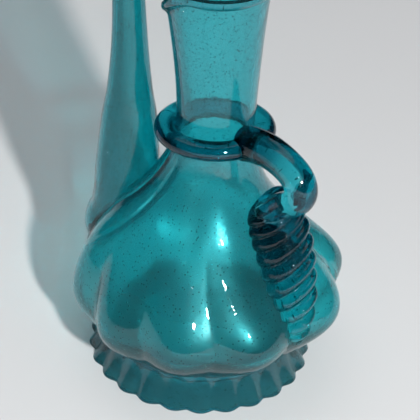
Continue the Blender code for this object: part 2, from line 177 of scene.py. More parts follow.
# Glass of each piece: thin tint, deep tint, roughness, clearness, share of the usual density
GLASS = {
    "body_glass": ((0.42, 0.95, 0.955), (0.28, 0.915, 0.925), 0.01, 0.985, 0.9),
    "spout_glass": ((0.16, 0.82, 0.82), (0.10, 0.74, 0.75), 0.01, 0.98, 1.7),
    "ring_glass": ((0.60, 0.90, 0.91), (0.44, 0.80, 0.82), 0.01, 1.0, 0.85),
    "handle_glass": ((0.60, 0.97, 0.98), (0.46, 0.93, 0.95), 0.01, 1.0, 0.42),
    "foot_glass": ((0.20, 0.61, 0.66), (0.14, 0.53, 0.59), 0.02, 0.93, 0.35),
}
GLASS_IOR = 1.5
DRAWN_OUT = (1.0, 1.0, 0.35)  # cords and ripples are longer up the glass than round it
CORD_RANGE = (0.35, 0.65)
SPECK_EDGE = (0.11, 0.19)  # inner and outer edge of a seed bubble, as shares of the spacing
SPECK_ODDS = 0.55  # share of the cells that have no bubble
SPECK_DEPTH = 0.6
SPECK_TINT = (0.03, 0.22, 0.25)
SMEAR_ROUGHNESS = 0.05
WEATHERED_HEIGHTS = (110.0 * MM, 15.0 * MM)  # the inner wall is duller towards the base
WEATHERED_ROUGHNESS = (0.04, 0.35)
ROOT_REACH = (29.0 * MM, 38.0 * MM)  # the handle's root is deeper in colour, and fades along this
ROOT_TINT = (0.20, 0.36, 0.42)
LAMPLIGHT_TINT = (0.74, 0.77, 0.76)  # what the thin wall lets through, and more of it higher up
LAMPLIGHT_HEIGHTS = (26.0 * MM, 46.0 * MM)
LAMPLIGHT_SHARES = (0.1, 1.0)

# Camera and lights: steps to the right, towards the camera and up
CAMERA_PLACE = (0.0, 0.60, 0.5035)
CAMERA_TARGET = (0.0012, 0.0, 0.0672)
FOCAL_PIXELS = 1872.0
PICTURE_PIXELS = 420.0
SENSOR_WIDTH = 36.0
LIT_PLACE = (0.0, 0.0, 0.06)
KEY_STEP = (0.42, 1.08, 0.74)  # from the lit place
OVERHEAD_STEP = (-0.2, -0.5, 1.5)  # from the lit place
GLINT_STEP = (0.10, 0.0, 0.12)  # from the camera


class EwerSizes(bpy.types.PropertyGroup):
    """Sizes of the glass that a user may change."""

    belly_radius: bpy.props.FloatProperty(
        name="Belly radius", description="Outer radius of the body at its widest",
        default=0.0529, unit="LENGTH")
    neck_radius: bpy.props.FloatProperty(
        name="Neck radius", description="Outer radius of the neck at its narrowest",
        default=0.0152, unit="LENGTH")
    throat_radius: bpy.props.FloatProperty(
        name="Throat radius", description="Outer radius of the neck below the lip",
        default=0.0187, unit="LENGTH")
    vessel_wall: bpy.props.FloatProperty(
        name="Vessel wall", description="Thickness of the blown wall",
        default=0.0024, unit="LENGTH")
    spout_wall: bpy.props.FloatProperty(
        name="Spout wall", description="Thickness of the drawn spout's wall",
        default=0.0016, unit="LENGTH")
    lobe_depth: bpy.props.FloatProperty(
        name="Lobe depth", description="How far the lobes stand out from the plain body",
        default=0.0026, unit="LENGTH")
    rib_depth: bpy.props.FloatProperty(
        name="Rib depth", description="How far the ribs of the tail stand out",
        default=0.0034, unit="LENGTH")
    lip_thread: bpy.props.FloatProperty(
        name="Lip thread", description="How far the thread wound under the lip stands out",
        default=0.0019, unit="LENGTH")
    segments: bpy.props.IntProperty(
        name="Segments", description="Points round the vessel",
        default=240, min=60, max=360)


class EwerGlass(bpy.types.PropertyGroup):
    """Colour and clearness of the glass."""

    passes: bpy.props.FloatVectorProperty(
        name="Passes", description="Colour that the glass lets through",
        default=(0.03, 0.775, 0.825), size=3, subtype="COLOR", min=0.0, max=1.0)
    density: bpy.props.FloatProperty(
        name="Density", description="How strongly a metre of the glass takes up light",
        default=520.0, min=0.0)
    bubble_spacing: bpy.props.FloatProperty(
        name="Bubble spacing", description="Usual distance between seed bubbles",
        default=0.0013, unit="LENGTH")


class EwerStage(bpy.types.PropertyGroup):
    """Floor, lights and the place of the camera."""

    floor_color: bpy.props.FloatVectorProperty(
        name="Floor", description="Colour of the plain floor",
        default=(0.74, 0.745, 0.76), size=3, subtype="COLOR", min=0.0, max=1.0)
    key_power: bpy.props.FloatProperty(
        name="Key light", description="Power of the key light", default=21.5)
    overhead_power: bpy.props.FloatProperty(
        name="Overhead light", description="Power of the large light overhead", default=5.0)
    glint_power: bpy.props.FloatProperty(
        name="Glint light", description="Power of the small light beside the camera", default=0.4)
    sky_strength: bpy.props.FloatProperty(
        name="Sky", description="Strength of the light all round", default=0.22)
    camera_turn: bpy.props.FloatProperty(
        name="Camera turn", description="Direction of the camera round the ewer",
        default=math.radians(44.0), subtype="ANGLE")
    camera_roll: bpy.props.FloatProperty(
        name="Camera roll", description="Lean of the camera",
        default=math.radians(3.6), subtype="ANGLE")


def smoothstep(low, high, value):
    """Ease from 0 at low to 1 at high."""
    t = min(1.0, max(0.0, (value - low) / (high - low)))
    return t * t * (3.0 - 2.0 * t)


def spline_at(keys, values, t):
    """Smooth value at t through a few keyed values, with each slope taken from its neighbours."""
    i = min(len(keys) - 2, max(0, bisect.bisect_right(keys, t) - 1))

    def slope(k):
        low = max(0, k - 1)
        high = min(len(keys) - 1, k + 1)
        return (values[high] - values[low]) / (keys[high] - keys[low])

    span = keys[i + 1] - keys[i]
    u = (t - keys[i]) / span
    start = (1 + 2 * u) * (1 - u) ** 2 * values[i] + u * (1 - u) ** 2 * span * slope(i)
    end = u * u * (3 - 2 * u) * values[i + 1] + u * u * (u - 1) * span * slope(i + 1)
    return start + end


def table_at(table, t):
    """Smooth value of a table of (key, value) pairs."""
    return spline_at([row[0] for row in table], [row[1] for row in table], t)


def sizes():
    """The sizes that a user may change."""
    return bpy.context.scene.ewer_sizes


def axis_place():
    """Where the vessel's axis stands: the foot's scallops are even round it."""
    low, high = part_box("foot")
    return Vector((high[0] - FOOT_RADIUS - SCALLOP_DEPTH, (low[1] + high[1]) / 2, 0.0))


def wall_radius(height):
    """Outer radius of the vessel before the lobes, from the waist to the lip."""
    belly = sizes().belly_radius
    neck = sizes().neck_radius
    throat = sizes().throat_radius
    if height < BELLY_HEIGHT:
        t = (height - WAIST_HEIGHT) / (BELLY_HEIGHT - WAIST_HEIGHT)
        return WAIST_RADIUS + (belly - WAIST_RADIUS) * math.sin(math.pi / 2 * max(0.0, t))
    if height < NECK_HEIGHT:
        t = (height - BELLY_HEIGHT) / (NECK_HEIGHT - BELLY_HEIGHT)
        return belly + (neck - belly) * smoothstep(0.0, 1.0, t + SHOULDER_FALL * t * (1 - t))
    t = (height - NECK_HEIGHT) / (THROAT_HEIGHT - NECK_HEIGHT)
    lip = max(0.0, (height - LIP_START_HEIGHT) / (LIP_HEIGHT - LIP_START_HEIGHT))
    return neck + (throat - neck) * t**NECK_CURVE + LIP_FLARE * lip * lip


def lean_at(height):
    """Sideways drift of the vessel's centre, as a vector."""
    drift = table_at(LEANS, min(height, LIP_HEIGHT) / MM) * MM
    return Vector((drift * math.cos(LEAN_ANGLE), drift * math.sin(LEAN_ANGLE), 0.0))


def tilt_at(height):
    """Slope of the vessel's level rings at a height."""
    return table_at(TILTS, min(height, LIP_HEIGHT) / MM)


def lobe_share(angle):
    """How far the wall stands out in a lobe at an angle, from -1 in a valley to about 1."""
    turn = (math.degrees(angle) - FIRST_VALLEY) % 360.0
    for width in LOBE_WIDTHS:
        if turn < width:
            break
        turn -= width
    t = min(1.0, turn / width)
    wave = -math.cos(2 * math.pi * t)
    arc = 2 * math.sin(math.pi * t) - 1
    return width * len(LOBE_WIDTHS) / 360.0 * (LOBE_ROUNDNESS * wave + (1 - LOBE_ROUNDNESS) * arc)


def lobe_strength(height):
    """How strongly the lobes stand out at a height."""
    rise = smoothstep(LOBE_START_HEIGHT, LOBE_FULL_HEIGHT, height)
    fade = 1 - smoothstep(BELLY_HEIGHT, LOBE_END_HEIGHT, height)
    return sizes().lobe_depth * rise * fade**LOBE_FADE


def select_only(obj):
    """Leave one object selected and active."""
    bpy.ops.object.select_all(action="DESELECT")
    obj.select_set(True)
    bpy.context.view_layer.objects.active = obj


def apply_all(obj):
    """Apply every modifier of an object in turn."""
    select_only(obj)
    for modifier in list(obj.modifiers):
        bpy.ops.object.modifier_apply(modifier=modifier.name)


def add_boolean(obj, other, operation):
    """Add a Boolean with another object, to be applied later."""
    modifier = obj.modifiers.new(f"{operation.title()} {other.name}", "BOOLEAN")
    modifier.operation = operation
    modifier.solver = "EXACT"
    modifier.object = other


def round_edges(obj, name, sharper_than, width):
    """Round the sharp edges of an object, as fire polishing does."""
    polish = obj.modifiers.new(name, "BEVEL")
    polish.limit_method = "ANGLE"
    polish.angle_limit = math.radians(sharper_than)
    polish.width = width
    polish.segments = 3
    apply_all(obj)


def drop(*objects):
    """Remove helpers that are no longer needed."""
    for obj in objects:
        bpy.data.objects.remove(obj)


def set_down(obj, material, nodes, angle=40.0):
    """Place a finished piece on the vessel's axis, shade it and tie it to the frame."""
    obj.data.transform(Matrix.Translation(axis_place()))
    obj.data.materials.clear()
    obj.data.materials.append(material)
    select_only(obj)
    bpy.ops.object.shade_smooth_by_angle(angle=math.radians(angle))
    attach(obj, "root")
    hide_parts(*nodes)


def stacked_rings(name, outline, steps):
    """Skin of level rings: a circle extruded and sized from one (radius, height) to the next."""
    bpy.ops.object.select_all(action="DESELECT")
    radius, height = outline[0]
    bpy.ops.mesh.primitive_circle_add(
        vertices=steps, radius=radius, fill_type="NOTHING", location=(0.0, 0.0, height))
    obj = bpy.context.object
    obj.name = name
    bpy.ops.object.transform_apply(location=True, rotation=False, scale=False)
    bpy.ops.object.mode_set(mode="EDIT")
    bpy.ops.mesh.select_all(action="SELECT")
    for next_radius, next_height in outline[1:]:
        rise = (0.0, 0.0, next_height - height)
        bpy.ops.mesh.extrude_region_move(TRANSFORM_OT_translate={"value": rise})
        if next_radius == 0.0:
            bpy.ops.mesh.merge(type="CENTER")
            break
        share = next_radius / radius
        bpy.ops.transform.resize(value=(share, share, 1.0), center_override=(0.0, 0.0, next_height))
        radius, height = next_radius, next_height
    bpy.ops.object.mode_set(mode="OBJECT")
    return obj


def recalculated(obj):
    """Weld a closed mesh and turn its faces outwards."""
    select_only(obj)
    bpy.ops.object.mode_set(mode="EDIT")
    bpy.ops.mesh.select_all(action="SELECT")
    bpy.ops.mesh.remove_doubles(threshold=MERGE)
    bpy.ops.mesh.normals_make_consistent(inside=False)
    bpy.ops.object.mode_set(mode="OBJECT")


def bar(name, points, radii, sides):
    """Round bar along a row of points, drawn as a path with a thickness at each point."""
    bpy.ops.object.select_all(action="DESELECT")
    bpy.ops.curve.primitive_nurbs_path_add(location=(0.0, 0.0, 0.0))
    obj = bpy.context.object
    obj.name = name
    path = obj.data
    path.splines.clear()
    spline = path.splines.new("POLY")
    spline.points.add(len(points) - 1)
    for target, point, radius in zip(spline.points, points, radii):
        target.co = (*point, 1.0)
        target.radius = radius
    path.bevel_depth = 1.0
    path.bevel_resolution = sides // 2 - 2
    path.use_fill_caps = True
    bpy.ops.object.convert(target="MESH")
    obj = bpy.context.object
    recalculated(obj)
    return obj


def vessel_outline():
    """Fine outline of the vessel's outer side, from the lip down to the middle of the base."""
    heights = []
    stretches = (
        (LIP_HEIGHT, THREAD_CLEAR_HEIGHT, 28),
        (THREAD_CLEAR_HEIGHT, NECK_HEIGHT, 16),
        (NECK_HEIGHT, BELLY_HEIGHT, 76),
        (BELLY_HEIGHT, WAIST_HEIGHT, 18),
    )
    for top, bottom, rows in stretches:
        heights += [top + (bottom - top) * row / rows for row in range(rows)]
    outline = [(wall_radius(height), height) for height in heights]
    outline.append((WAIST_RADIUS, WAIST_HEIGHT))
    for t in (0.25, 0.5, 0.75, 1.0):
        radius = WAIST_RADIUS + (BASE_RADIUS - WAIST_RADIUS) * t
        outline.append((radius, WAIST_HEIGHT + (BASE_HEIGHT - WAIST_HEIGHT) * math.sin(math.pi / 2 * t)))
    for t in (0.2, 0.4, 0.6, 0.8, 0.92):
        outline.append((BASE_RADIUS * (1 - t), BASE_HEIGHT + BASE_KICK * smoothstep(0.0, 1.0, t)))
    outline.append((0.0, BASE_HEIGHT + BASE_KICK))
    return outline


def press_lobes(obj):
    """Press the lobes into the plain vessel and let it sag out of true."""
    for vertex in obj.data.vertices:
        x, y, height = vertex.co
        radius = math.hypot(x, y)
        angle = math.atan2(y, x)
        spread = smoothstep(0.8 * WAIST_RADIUS, WAIST_RADIUS, radius)
        if height < NECK_HEIGHT:
            radius += lobe_strength(height) * lobe_share(angle) * spread
        across, aside = RIPPLES_ROUND * math.cos(angle), RIPPLES_ROUND * math.sin(angle)
        swell = noise.noise(Vector((across, aside, RIPPLES_UP * height)))
        radius += RIPPLE * swell * spread * smoothstep(WAIST_HEIGHT, BELLY_HEIGHT, height)
        toward = radius * math.cos(angle - LEAN_ANGLE)
        level = height + toward * tilt_at(height)
        place = Vector((radius * math.cos(angle), radius * math.sin(angle), level))
        low = smoothstep(0.8 * WAIST_HEIGHT, 2.0 * WAIST_HEIGHT, height)
        sag = SAG * low * (1 - smoothstep(SAG_FULL_HEIGHT, SHOULDER_HEIGHT, height)) * spread
        place += Vector((sag * math.cos(FRONT_ANGLE), sag * math.sin(FRONT_ANGLE), 0.0))
        vertex.co = place + lean_at(height)


def vary_wall(obj):
    """Thin the low wall and the valleys, and thicken the wall where it sagged, on its inner side alone."""
    inside = obj.data.attributes["inside"].data
    normals = [vertex.normal.copy() for vertex in obj.data.vertices]
    for vertex, normal in zip(obj.data.vertices, normals):
        height = vertex.co.z
        if inside[vertex.index].value < 0.5 or height > LOBE_END_HEIGHT:
            continue
        vertex.co -= normal * THINNING * (1 - smoothstep(BELLY_HEIGHT, LOBE_END_HEIGHT, height))
        if height < LOBE_START_HEIGHT:
            continue
        centre = lean_at(height)
        out = Vector((vertex.co.x - centre.x, vertex.co.y - centre.y))
        toward_sag = smoothstep(*GATHER_COSINES, math.cos(math.atan2(out.y, out.x) - FRONT_ANGLE))
        low = smoothstep(*GATHER_RISE, height) * (1 - smoothstep(GATHER_END_HEIGHT, BELLY_HEIGHT, height))
        vertex.co += normal * GATHERED * toward_sag * low
        shift = -UNEVENNESS * lobe_strength(height) * lobe_share(math.atan2(out.y, out.x))
        out.normalize()
        vertex.co.x += out.x * shift
        vertex.co.y += out.y * shift


def raise_folds(obj):
    """Raise the folds on the shoulder, on the outer side of the wall alone."""
    inside = obj.data.attributes["inside"].data
    normals = [vertex.normal.copy() for vertex in obj.data.vertices]
    for (first_angle, high), (last_angle, low) in FOLDS:
        for vertex, normal in zip(obj.data.vertices, normals):
            along = (high * MM - vertex.co.z) / ((high - low) * MM)
            if inside[vertex.index].value > 0.5 or not 0 < along < 1:
                continue
            centre = lean_at(vertex.co.z)
            out = Vector((vertex.co.x - centre.x, vertex.co.y - centre.y))
            angle = math.degrees(math.atan2(out.y, out.x) - FRONT_ANGLE)
            bend = (last_angle - first_angle) * along**FOLD_BEND
            off = (angle - first_angle - bend + 180.0) % 360.0 - 180.0
            across = math.radians(off) * out.length / FOLD_WIDTH
            ends = min(1.0, 6 * along * (1 - along))
            vertex.co += normal * FOLD_DEPTH * math.exp(-across * across) * ends


def thread_height(turn):
    """Height of the thread wound under the lip, at a turn in degrees from its start."""
    return (THREAD_LOW + THREAD_CLIMB * smoothstep(0.0, THREAD_CLIMB_END, turn)) * MM


def wind_thread(obj):
    """Raise the thread that is wound round under the lip, on the outer side of the wall alone."""
    depth = sizes().lip_thread
    inside = obj.data.attributes["inside"].data
    for vertex in obj.data.vertices:
        height = vertex.co.z
        if height < THREAD_CLEAR_HEIGHT or inside[vertex.index].value > 0.5:
            continue
        centre = lean_at(height)
        out = Vector((vertex.co.x - centre.x, vertex.co.y - centre.y))
        turn = (math.degrees(math.atan2(out.y, out.x)) - FRONT - THREAD_START) % 360.0
        off = (height - thread_height(turn)) / THREAD_HALF_WIDTH
        swell = smoothstep(*THREAD_START_EASE, turn) * math.sqrt(max(0.0, 1 - off * off))
        if turn < THREAD_CLIMB_END:
            last = (height - thread_height(360.0)) / THREAD_HALF_WIDTH
            swell = max(swell, math.sqrt(max(0.0, 1 - last * last)))
        out.normalize()
        vertex.co.x += out.x * depth * swell
        vertex.co.y += out.y * depth * swell


def vessel_skin(name):
    """The vessel's outer side as an open skin that faces outwards."""
    skin = stacked_rings(name, vessel_outline(), sizes().segments)
    press_lobes(skin)
    recalculated(skin)
    widest = max(skin.data.vertices, key=lambda vertex: vertex.co.xy.length)
    if widest.normal.xy.dot(widest.co.xy) < 0:
        bpy.ops.object.mode_set(mode="EDIT")
        bpy.ops.mesh.select_all(action="SELECT")
        bpy.ops.mesh.flip_normals()
        bpy.ops.object.mode_set(mode="OBJECT")
    return skin


def vessel_form(name, shrink):
    """The vessel's outer form as a solid, a little smaller, for fitting pieces to it."""
    form = vessel_skin(name)
    bpy.ops.object.mode_set(mode="EDIT")
    bpy.ops.mesh.select_all(action="SELECT")
    bpy.ops.transform.shrink_fatten(value=-shrink)
    bpy.ops.mesh.select_all(action="DESELECT")
    bpy.ops.mesh.select_non_manifold()
    bpy.ops.mesh.edge_face_add()
    bpy.ops.mesh.select_all(action="SELECT")
    bpy.ops.mesh.normals_make_consistent(inside=False)
    bpy.ops.object.mode_set(mode="OBJECT")
    return form


def ring_height():
    """Height of the ring's middle on the neck."""
    return NECK_HEIGHT - RING_DROP


def ring_reach():
    """Distance of the ring's middle line from the axis."""
    return wall_radius(ring_height()) + RING_THICKNESS / 2 - RING_BITE


def ring_solid(name, shrink):
    """The wound ring, flattened and tilted a little."""
    bpy.ops.object.select_all(action="DESELECT")
    bpy.ops.mesh.primitive_torus_add(
        major_segments=120,
        minor_segments=36,
        major_radius=ring_reach(),
        minor_radius=RING_THICKNESS / 2 - shrink,
    )
    ring = bpy.context.object
    ring.name = name
    across = Vector((math.cos(LEAN_ANGLE), math.sin(LEAN_ANGLE), 0.0))
    along = Vector((across.y, -across.x, 0.0))
    flatten = RING_DEPTH / RING_THICKNESS
    for vertex in ring.data.vertices:
        level = vertex.co.z * flatten
        level += vertex.co.dot(across) * tilt_at(ring_height()) + vertex.co.dot(along) * RING_TILT_ALONG
        vertex.co.z = ring_height() + level
        vertex.co += lean_at(ring_height())
    return ring


def spout_point(t):
    """Point on the spout's axis, from 0 below the shoulder to 1 at the tip."""
    reach = sizes().belly_radius - table_at(SPOUT_AXIS, t) * MM
    height = SPOUT_ROOT_HEIGHT + (SPOUT_TIP_HEIGHT - SPOUT_ROOT_HEIGHT) * t
    return Vector((reach * math.cos(SPOUT_ANGLE), reach * math.sin(SPOUT_ANGLE), height))


def tail_values(t):
    """Out, height, drift, half width and thickness of the crimped tail."""
    keys = [i / (len(TAIL) - 1) for i in range(len(TAIL))]
    rows = [(wall_radius(row[1] * MM) + row[0] * MM, *(value * MM for value in row[1:])) for row in TAIL]
    return [spline_at(keys, [row[column] for row in rows], t) for column in range(5)]


def loop_point(t):
    """Point on the middle line of the handle's loop, from the ring to the top of the tail."""
    outs = [ring_reach() + point[0] * MM for point in HANDLE_LOOP]
    heights = [ring_height() + point[1] * MM for point in HANDLE_LOOP]
    tail_top = tail_values(0.0)
    outs.append(tail_top[0] + HANDLE_END_REACH)
    heights.append(tail_top[1] + HANDLE_END_RISE)
    keys = [i / (len(outs) - 1) for i in range(len(outs))]
    return Vector((spline_at(keys, outs, t), 0.0, spline_at(keys, heights, t)))


def tail_section(t, sides):
    """Ring of points round the tail at one place along it."""
    out, height, drift, half_width, thickness = tail_values(t)
    ahead = tail_values(min(1.0, t + 0.01))
    behind = tail_values(max(0.0, t - 0.01))
    along = Vector((ahead[0] - behind[0], 0.0, ahead[1] - behind[1])).normalized()
    outward = Vector((-along.z, 0.0, along.x))
    wave = abs(math.sin(math.pi * t * TAIL_RIBS)) ** TAIL_RIB_ROUNDNESS
    rib = sizes().rib_depth * wave * min(1.0, thickness / (4 * MM))
    centre = Vector((out, drift, height))
    points = []
    for side in range(sides):
        turn = 2 * math.pi * side / sides
        across = (half_width + 0.5 * rib) * math.cos(turn)
        lift = TAIL_ROOT_DEPTH * math.sin(turn)
        if lift > 0:
            lift = (thickness + rib) * math.sin(turn) ** TAIL_SQUARENESS
        slant = -along * across * RIB_SLANT
        points.append(centre + Vector((0.0, across, 0.0)) + outward * lift + slant)
    return points


def tail_solid(name, stations, sides):
    """Crimped tail: a disc extruded into a stack of rings, each ring set in its place."""
    bpy.ops.object.select_all(action="DESELECT")
    bpy.ops.mesh.primitive_circle_add(vertices=sides, radius=HANDLE_THICKNESS / 2, fill_type="NGON")
    tail = bpy.context.object
    tail.name = name
    bpy.ops.object.mode_set(mode="EDIT")
    bpy.ops.mesh.select_all(action="SELECT")
    for _ in range(stations):
        bpy.ops.mesh.extrude_region_move(TRANSFORM_OT_translate={"value": (0.0, 0.0, 1.0 * MM)})
    bpy.ops.object.mode_set(mode="OBJECT")
    rings = {}
    for vertex in tail.data.vertices:
        rings.setdefault(round(vertex.co.z / MM), []).append(vertex)
    for level, ring in rings.items():
        section = tail_section(level / stations, sides)
        for vertex in ring:
            turn = math.atan2(vertex.co.y, vertex.co.x) / (2 * math.pi) * sides
            vertex.co = section[round(turn) % sides]
    recalculated(tail)
    return tail


def set_values(node, values):
    """Set the plain values of a node's inputs by their names."""
    for name, value in values.items():
        node.inputs[name].default_value = value


def map_range(tree, source, low, high, to_low, to_high):
    """Output of a Map Range that takes low..high to to_low..to_high."""
    node = tree.nodes.new("ShaderNodeMapRange")
    set_values(node, {"From Min": low, "From Max": high, "To Min": to_low, "To Max": to_high})
    tree.links.new(source, node.inputs["Value"])
    return node.outputs["Result"]


def noise_field(tree, label, vector, scale, detail):
    """Output of a noise texture, from 0 to 1."""
    node = tree.nodes.new("ShaderNodeTexNoise")
    node.label = label
    set_values(node, {"Scale": scale, "Detail": detail})
    tree.links.new(vector, node.inputs["Vector"])
    return node.outputs["Fac"]


def math_node(tree, operation, *terms):
    """Output of a Math node whose terms are outputs or plain numbers."""
    node = tree.nodes.new("ShaderNodeMath")
    node.operation = operation
    for socket, term in zip(node.inputs, terms):
        if isinstance(term, float):
            socket.default_value = term
        else:
            tree.links.new(term, socket)
    return node.outputs["Value"]


def color_mix(tree, factor, first, second, blend="MIX"):
    """Output of a colour mix, whose factor and colours are outputs or plain values."""
    node = tree.nodes.new("ShaderNodeMix")
    node.data_type = "RGBA"
    node.blend_type = blend
    for name, value in (("Factor", factor), ("A", first), ("B", second)):
        if isinstance(value, float):
            node.inputs[name].default_value = value
        elif isinstance(value, tuple):
            node.inputs[name].default_value = (*value, 1.0)
        else:
            tree.links.new(value, node.inputs[name])
    return node.outputs["Result"]


def bump(tree, height, strength, distance, below=None):
    """Output of a bump, laid over another one if there is one."""
    node = tree.nodes.new("ShaderNodeBump")
    set_values(node, {"Strength": strength, "Distance": distance})
    tree.links.new(height, node.inputs["Height"])
    if below is not None:
        tree.links.new(below, node.inputs["Normal"])
    return node.outputs["Normal"]


def object_place(tree):
    """Output with the place on the piece, in metres."""
    return tree.nodes.new("ShaderNodeTexCoord").outputs["Object"]


def object_axis(tree, axis):
    """Output with one coordinate of the place on the piece."""
    node = tree.nodes.new("ShaderNodeSeparateXYZ")
    tree.links.new(object_place(tree), node.inputs["Vector"])
    return node.outputs[axis]


def seed_bubbles(tree, place):
    """Output that is 1 in small round specks, in less than half of the cells of a cell pattern."""
    seeds = tree.nodes.new("ShaderNodeTexVoronoi")
    seeds.label = "Seed bubbles"
    spacing = bpy.context.scene.ewer_glass.bubble_spacing
    set_values(seeds, {"Scale": 1.0 / spacing, "Randomness": 1.0})
    tree.links.new(place, seeds.inputs["Vector"])
    speck = map_range(tree, seeds.outputs["Distance"], *SPECK_EDGE, 1.0, 0.0)
    pick = tree.nodes.new("ShaderNodeSeparateColor")
    tree.links.new(seeds.outputs["Color"], pick.inputs["Color"])
    chosen = math_node(tree, "GREATER_THAN", pick.outputs["Red"], SPECK_ODDS)
    return math_node(tree, "MULTIPLY", speck, chosen)


def blown_glass(name):
    """Clear teal glass with volume colour, faint cords in the tint, seed bubbles and a soft ripple."""
    thin_tint, deep_tint, roughness, clearness, share = GLASS[name]
    look = bpy.context.scene.ewer_glass
    material = bpy.data.materials.new(name)
    material.use_nodes = True
    tree = material.node_tree
    shader = tree.nodes["Principled BSDF"]
    set_values(shader, {"Transmission Weight": clearness, "IOR": GLASS_IOR, "Metallic": 0.0})
    place = object_place(tree)
    stretch = tree.nodes.new("ShaderNodeMapping")
    set_values(stretch, {"Scale": DRAWN_OUT})
    tree.links.new(place, stretch.inputs["Vector"])
    drawn_out = stretch.outputs["Vector"]

    cords = noise_field(tree, "Cords in the melt", drawn_out, 55.0, 3.0)
    tint = color_mix(tree, map_range(tree, cords, *CORD_RANGE, 0.0, 1.0), thin_tint, deep_tint)
    bubbles = seed_bubbles(tree, place)
    specked = color_mix(tree, math_node(tree, "MULTIPLY", bubbles, SPECK_DEPTH), tint, SPECK_TINT)
    tree.links.new(specked, shader.inputs["Base Color"])

    smears = noise_field(tree, "Smears", place, 30.0, 4.0)
    polish = map_range(tree, smears, 0.0, 1.0, roughness, roughness + SMEAR_ROUGHNESS)
    inner_wall = tree.nodes.new("ShaderNodeAttribute")
    inner_wall.attribute_name = "inside"
    weathering = map_range(tree, object_axis(tree, "Z"), *WEATHERED_HEIGHTS, *WEATHERED_ROUGHNESS)
    dulled = math_node(tree, "MULTIPLY_ADD", inner_wall.outputs["Fac"], weathering, polish)
    tree.links.new(dulled, shader.inputs["Roughness"])

    ripples = noise_field(tree, "Ripples of the blown wall", drawn_out, 38.0, 1.5)
    peel = noise_field(tree, "Fine unevenness of the skin", place, 230.0, 2.0)
    skin = bump(tree, peel, 0.35, 0.25 * MM, bump(tree, ripples, 0.35, 1.2 * MM))
    tree.links.new(bump(tree, bubbles, 0.9, 0.4 * MM, skin), shader.inputs["Normal"])

    inside = tree.nodes.new("ShaderNodeVolumeAbsorption")
    set_values(inside, {"Color": (*look.passes, 1.0), "Density": look.density * share})
    tree.links.new(inside.outputs["Volume"], tree.nodes["Material Output"].inputs["Volume"])
    return material


def darken_root(material):
    """Deeper colour towards the neck: at the handle's root and at the top of the tail."""
    tree = material.node_tree
    base = tree.nodes["Principled BSDF"].inputs["Base Color"]
    near = map_range(tree, object_axis(tree, "X"), *ROOT_REACH, 1.0, 0.0)
    deeper = color_mix(tree, near, base.links[0].from_socket, ROOT_TINT, "MULTIPLY")
    tree.links.new(deeper, base)


def let_lamps_through(material):
    """Let lamplight pass the thin upper wall, tinted by the glass; the thick low wall stops most of it."""
    tree = material.node_tree
    clear = tree.nodes.new("ShaderNodeBsdfTransparent")
    set_values(clear, {"Color": (*LAMPLIGHT_TINT, 1.0)})
    ray = tree.nodes.new("ShaderNodeLightPath")
    thin = map_range(tree, object_axis(tree, "Z"), *LAMPLIGHT_HEIGHTS, *LAMPLIGHT_SHARES)
    passing = math_node(tree, "MULTIPLY", ray.outputs["Is Shadow Ray"], thin)
    either = tree.nodes.new("ShaderNodeMixShader")
    tree.links.new(passing, either.inputs["Fac"])
    tree.links.new(tree.nodes["Principled BSDF"].outputs["BSDF"], either.inputs[1])
    tree.links.new(clear.outputs["BSDF"], either.inputs[2])
    tree.links.new(either.outputs["Shader"], tree.nodes["Material Output"].inputs["Surface"])


class EWER_OT_body(bpy.types.Operator):
    """Model the lobed vessel with its neck and lip"""

    bl_idname = "ewer.body"
    bl_label = "Body"

    def execute(self, context):
        body = vessel_skin("ewer_body")
        outer_points = len(body.data.vertices)
        wall = body.modifiers.new("Wall", "SOLIDIFY")
        wall.thickness = sizes().vessel_wall
        wall.offset = -1.0
        wall.use_even_offset = True
        apply_all(body)
        inside = body.data.attributes.new("inside", "FLOAT", "POINT")
        for index, value in enumerate(inside.data):
            value.value = float(index >= outer_points)
        vary_wall(body)
        raise_folds(body)
        wind_thread(body)
        points = [spout_point(i / 24) for i in range(12)]
        hole = bar("spout_hole", points, [SPOUT_HOLE_RADIUS] * len(points), 32)
        add_boolean(body, hole, "DIFFERENCE")
        apply_all(body)
        round_edges(body, "Polished lip", 55.0, LIP_ROUNDING)
        drop(hole)
        glass = blown_glass("body_glass")
        let_lamps_through(glass)
        set_down(body, glass, ["body"])
        return {"FINISHED"}


class EWER_OT_spout(bpy.types.Operator):
    """Model the drawn spout, fitted to the shoulder"""

    bl_idname = "ewer.spout"
    bl_label = "Spout"

    def execute(self, context):
        shares = [i / 72 for i in range(73)]
        points = [spout_point(t) for t in shares]
        radii = [table_at(SPOUT_RADII, t) * MM for t in shares]
        spout = bar("ewer_spout", points, radii, 48)
        past_root = (points[0] - points[1]).normalized() * sizes().spout_wall
        past_tip = (points[-1] - points[-2]).normalized() * sizes().spout_wall
        bore_points = [points[0] + past_root] + points + [points[-1] + past_tip]
        bore_radii = [radius - sizes().spout_wall for radius in [radii[0]] + radii + [radii[-1]]]
        bore = bar("spout_bore", bore_points, bore_radii, 40)
        form = vessel_form("vessel_form", FUSE)
        add_boolean(spout, form, "DIFFERENCE")
        apply_all(spout)
        add_boolean(spout, bore, "DIFFERENCE")
        apply_all(spout)
        round_edges(spout, "Polished edges", 60.0, EDGE_ROUNDING)
        drop(bore, form)
        glass = blown_glass("spout_glass")
        set_down(spout, glass, ["spout"])
        return {"FINISHED"}


class EWER_OT_neck_ring(bpy.types.Operator):
    """Model the ring wound round the root of the neck"""

    bl_idname = "ewer.neck_ring"
    bl_label = "Neck ring"

    def execute(self, context):
        ring = ring_solid("ewer_neck_ring", 0.0)
        form = vessel_form("vessel_form", FUSE)
        add_boolean(ring, form, "DIFFERENCE")
        apply_all(ring)
        drop(form)
        glass = blown_glass("ring_glass")
        set_down(ring, glass, ["neck_ring"])
        return {"FINISHED"}


